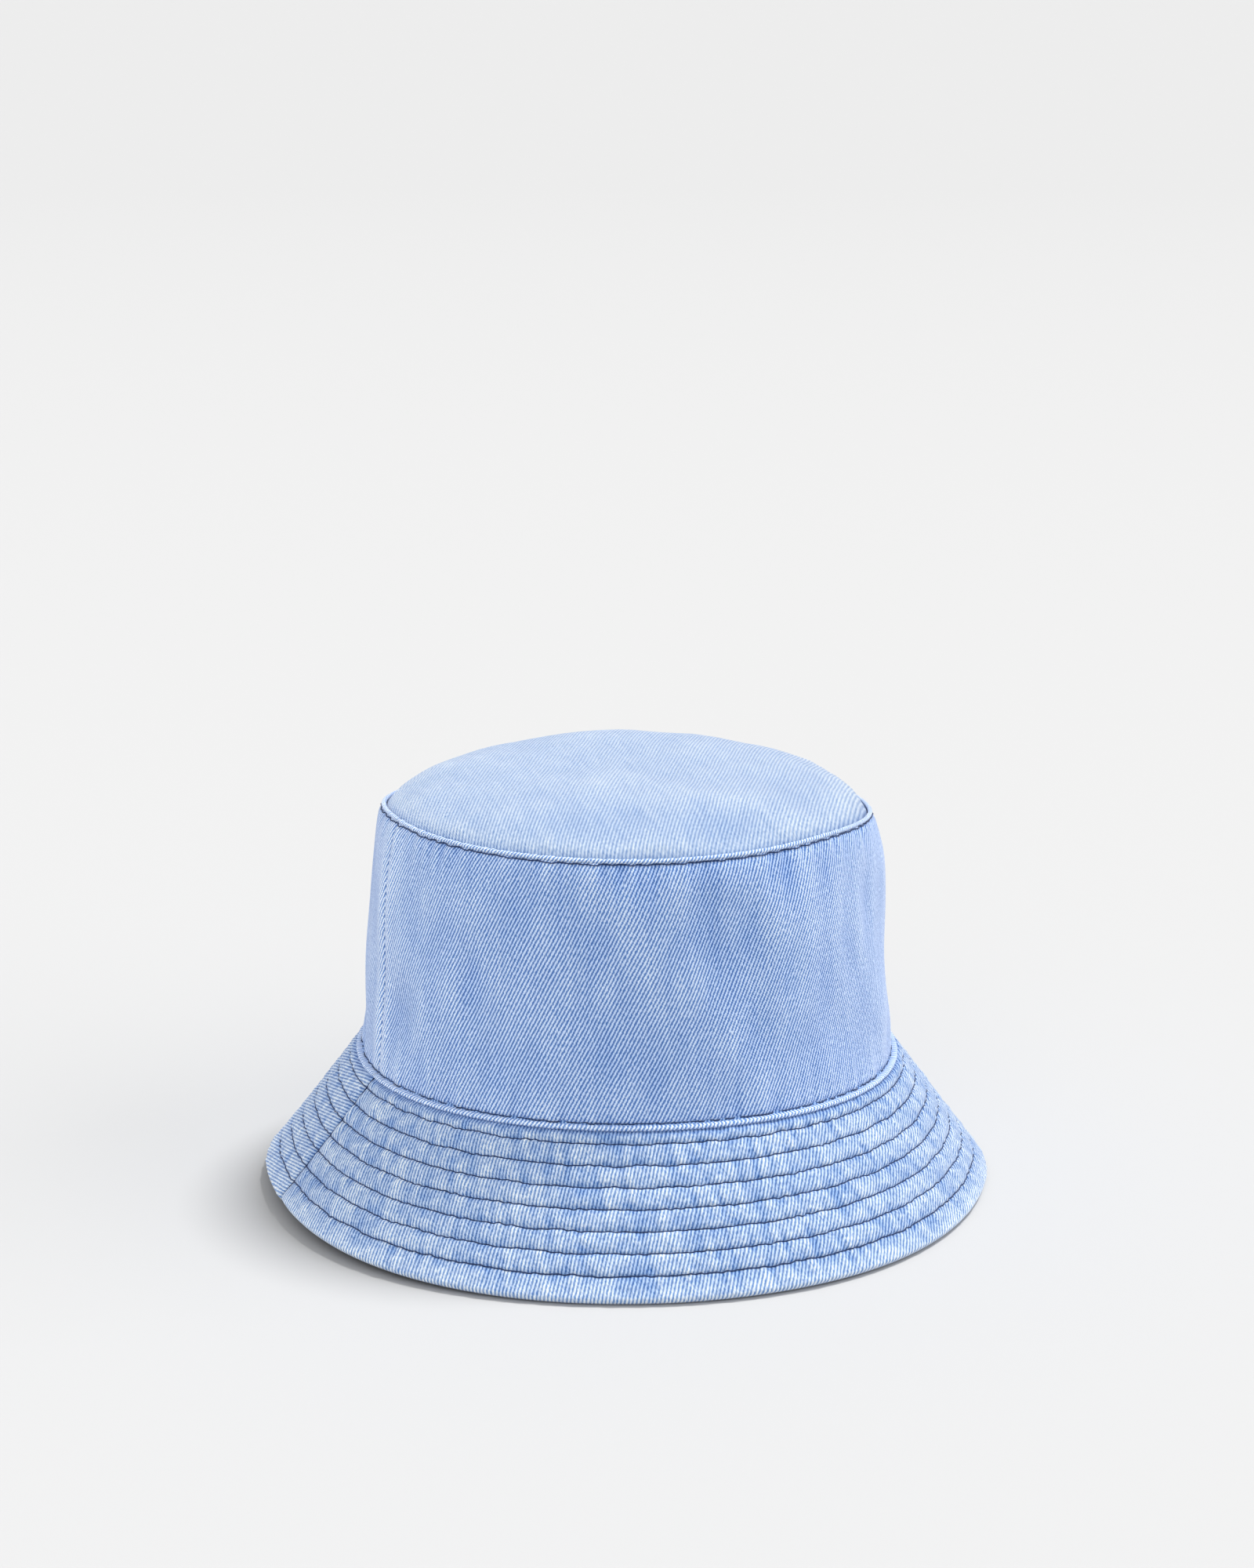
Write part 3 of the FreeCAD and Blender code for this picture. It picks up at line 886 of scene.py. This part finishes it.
def plain_weave(name, dark, light, pitch):
    """Plain cotton or satin weave: over and under threads both ways, with an uneven yarn."""
    cloth = Surface(name, roughness=0.9, sheen=0.1)
    x, y = cloth.cloth_mm()
    over = cloth.math("SINE", cloth.times(x, TURN / pitch))
    under = cloth.math("SINE", cloth.times(y, TURN / pitch))
    weave = cloth.lifted(cloth.times(over, under))
    share = cloth.add(cloth.times(weave, 0.6), cloth.times(cloth.noise(x, y, 0.05, 0.8, 3.0), 0.4))
    return cloth.finish(cloth.mix(share, dark, light), weave, 0.08)


def herringbone(name, dark, light):
    """Sweatband tape: fine twill that turns back every 3 mm."""
    cloth = Surface(name, roughness=0.8, sheen=0.15)
    x, y = cloth.cloth_mm()
    phase = cloth.times(cloth.add(cloth.math("PINGPONG", x, 3.0), y), TURN / 0.9)
    rib = cloth.lifted(cloth.math("SINE", phase))
    uneven = cloth.span(cloth.noise(x, y, 0.3, 0.3, 2.0), 0.2, 0.8, 0.6, 1.0)
    return cloth.finish(cloth.mix(cloth.times(rib, uneven), dark, light), rib, 0.12)


def felt(name, dark, light):
    """Non-woven felt: a tangle of fibres."""
    cloth = Surface(name, roughness=0.95, sheen=0.2)
    tangle = cloth.noise(*cloth.cloth_mm(), 1.6, 1.6, 4.0)
    return cloth.finish(cloth.mix(tangle, dark, light), tangle, 0.2)


# The material of each of the record's slots.
MATERIALS = {
    "denim_crown": denim("denim_crown", 3.4, (1.0, 1.02, 1.04), 0.8),
    # The tip's tint is darker than the crown's: painted shade that tones down the overhead light on the top.
    "denim_tip": denim("denim_tip", 0.6, (0.88, 0.86, 0.78), 0.5),
    "denim_brim": denim("denim_brim", 1.15, (0.97, 0.96, 0.9)),
    # The under denim's darker tint is painted shade for the underside of the brim.
    "denim_under": denim("denim_under", 1.0, (0.9, 0.9, 0.9)),
    "thread_navy": twisted_thread("navy_thread", linear(16, 30, 66), linear(44, 70, 120)),
    "thread_white": twisted_thread("white_thread", linear(170, 172, 176), linear(232, 232, 230)),
    "lining_cotton": plain_weave("cotton_lining", linear(206, 208, 204), linear(238, 238, 232), 0.7),
    "label_satin": plain_weave("label_satin", linear(222, 222, 218), linear(246, 246, 242), 0.3),
    "sweatband_twill": herringbone("sweatband_tape", linear(30, 44, 78), linear(66, 88, 132)),
    "interlining_felt": felt("brim_felt", linear(200, 200, 196), linear(238, 238, 234)),
}


# Putting it together: each piece gets its material and stands for its CAD node, and some of them ride on a
# body.


def made(kind, node, slot, shape, *details):
    """A piece that stands for a CAD node, built by one of the functions above."""
    piece = shape(f"{kind}_{node}", *details)
    piece.data.materials.append(MATERIALS[slot])
    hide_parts(node)
    return piece


def on_brim(piece):
    """Bakes the piece's placement into its mesh."""
    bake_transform(piece)


def on_wall(piece):
    """Bakes the piece's placement into its mesh."""
    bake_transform(piece)


def build_crown():
    """The tip, the side panels, their lining and their threads."""
    for side, facing in SIDES.items():
        on_wall(made("panel", f"crown_side_{side}", "denim_crown", crown_side, facing))
        on_wall(made("sheet", f"side_lining_{side}", "lining_cotton", lining_side, facing))
    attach(made("panel", "tip_panel", "denim_tip", tip), "tip")
    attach(made("sheet", "tip_lining", "lining_cotton", tip_lining), "tip")
    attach(made("thread", "tip_edge_stitch", "thread_navy", crown_stitch, CORD_Z - EDGE), "tip")
    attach(made("thread", "crown_base_stitch", "thread_navy", crown_stitch, HEM_Z + EDGE), "root")
    length = TIP_Z - BASE_Z
    for node, slot, line in (
        ("crown_side_seam_threads", "thread_navy", up_the_wall(1.2, 2)),
        ("lining_side_seam_threads", "thread_white", up_the_wall(WALL + 0.5, 4)),
    ):
        on_wall(made("thread", node, slot, side_threads, length, line))


def build_brim():
    """The top and under panels, their stitching, and the filling between them."""
    for side, facing in SIDES.items():
        on_brim(made("panel", f"brim_top_{side}", "denim_brim", brim_panel, facing, False))
        on_brim(made("panel", f"brim_under_{side}", "denim_under", brim_panel, facing, True))
    for row in range(1, CHANNELS):
        on_brim(made("thread", f"brim_stitch_row_{row}", "thread_navy", brim_row, row))
    for layer, line in (
        ("top", down_the_brim(-0.25, 2.5)),
        ("under", down_the_brim(-BRIM_THICK + 0.2, 3)),
    ):
        on_brim(made("thread", f"brim_{layer}_seam_threads", "thread_navy", side_threads, SLANT, line))
    fold = SLANT - box_mm("brim_edge_allowance")[1][2] / DROP
    on_brim(made("felt", "brim_interlining", "interlining_felt", brim_ring, 0.4, fold - 0.8))
    on_brim(made("fold", "brim_edge_allowance", "denim_under", brim_ring, fold, SLANT - 1.2))
    _, front, height = brim_point(0, fold - 0.4, -BRIM_THICK / 2)
    on_brim(made("thread", "brim_edge_seam_thread", "thread_navy", plain_round, -front, height))


def build_inside():
    """The sweatband and the two blank labels."""
    tape = (0.9, TAPE_THICK, BASE_Z, BAND_TOP, full_turn(360), True)
    on_wall(made("tape", "sweatband", "sweatband_twill", band, *tape))
    seam_z = BASE_Z - THREAD - 0.05
    seam = made("thread", "sweatband_seam_thread", "thread_navy", plain_round, HEAD_R + 0.35, seam_z)
    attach(seam, "root")
    low, high = box_mm("care_label")
    half = math.radians(11)
    ribbon = (0.72, RIBBON_THICK, low[2], high[2], np.linspace(TURN / 2 - half, TURN / 2 + half, 40))
    on_wall(made("ribbon", "care_label", "label_satin", band, *ribbon))
    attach(made("ribbon", "size_label", "label_satin", size_label), "tip")
    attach(made("thread", "size_label_stitches", "thread_white", label_stitches), "tip")


# The studio.


def paper():
    """Pale paper, with painted shade that darkens it slightly far away. It can't be seen from below."""
    surface = Surface("paper", roughness=1.0, specular=0.0)
    place = surface.node("TexCoord", {}, "Object")
    far = surface.node("VectorMath", {0: place}, "Value", operation="LENGTH")
    below = surface.node("NewGeometry", {}, "Backfacing")
    clear = surface.node("BsdfTransparent", {})
    shown = surface.node("MixShader", {0: below, 1: surface.shader.outputs[0], 2: clear})
    output = next(n for n in surface.nodes if n.type == "OUTPUT_MATERIAL")
    surface.feed(output.inputs["Surface"], shown)
    return surface.finish(surface.span(far, 0.3, 5.0, 0.552, 0.523))


def floor():
    """A wide paper floor that touches the lowest point of the hat."""
    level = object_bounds()[0][2]
    mesh = bpy.data.meshes.new("floor")
    reach = 60
    corners = [(-reach, -reach, 0), (reach, -reach, 0), (reach, reach, 0), (-reach, reach, 0)]
    mesh.from_pydata(corners, [], [(0, 1, 2, 3)])
    mesh.materials.append(paper())
    ground = placed("floor", mesh)
    ground.location.z = level
    ground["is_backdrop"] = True
    return ground


def surroundings():
    """An even pale world, a little brighter where the camera sees it."""
    world = bpy.data.worlds.new("studio")
    bpy.context.scene.world = world
    world.use_nodes = True
    nodes, links = world.node_tree.nodes, world.node_tree.links
    background = next(n for n in nodes if n.type == "BACKGROUND")
    path = nodes.new("ShaderNodeLightPath")
    choose = nodes.new("ShaderNodeMix")
    choose.data_type = "RGBA"
    choose.inputs[6].default_value = (0.62, 0.62, 0.62, 1)
    choose.inputs[7].default_value = (0.86, 0.86, 0.86, 1)
    links.new(path.outputs["Is Camera Ray"], choose.inputs[0])
    links.new(choose.outputs[2], background.inputs["Color"])


def sun(name, azimuth, elevation, strength, softness):
    """A sun. Its angles are in degrees, and its azimuth counts from the camera towards the right."""
    light = bpy.data.lights.new(name, "SUN")
    light.energy = strength
    light.angle = math.radians(softness)
    lamp = placed(name, light)
    around, up = CAMERA_AZIMUTH + math.radians(azimuth), math.radians(elevation)
    toward = Vector((math.sin(around) * math.cos(up), -math.cos(around) * math.cos(up), math.sin(up)))
    lamp.rotation_mode = "QUATERNION"
    lamp.rotation_quaternion = toward.to_track_quat("Z", "Y")
    return lamp


def lights(ground):
    """A soft key light and wide fills. The left fill spares the floor, so the hat throws one shadow."""
    sun("key", 118, 66, 2.7, 14)
    sun("front", -5, 35, 0.45, 60)
    left = sun("left", -85, 32, 1.5, 60)
    sun("right", 80, 20, 1.2, 60)
    spared = bpy.data.collections.new("floor_only")
    spared.objects.link(ground)
    spared.collection_objects[0].light_linking.link_state = "EXCLUDE"
    left.light_linking.receiver_collection = spared


def camera():
    """A 70 mm view from a little left of the front, looking down on the hat."""
    lens = bpy.data.cameras.new("camera")
    lens.lens, lens.sensor_width = 70, 36
    view = placed("camera", lens)
    away, height, pitch = 1.024, 0.410, math.radians(14.95)
    view.location = (away * math.sin(CAMERA_AZIMUTH), -away * math.cos(CAMERA_AZIMUTH), height)
    view.rotation_euler = (math.pi / 2 - pitch, 0, CAMERA_AZIMUTH)
    bpy.context.scene.camera = view
    bpy.context.scene.view_settings.view_transform = "Standard"


build_crown()
build_brim()
build_inside()
lights(floor())
surroundings()
camera()
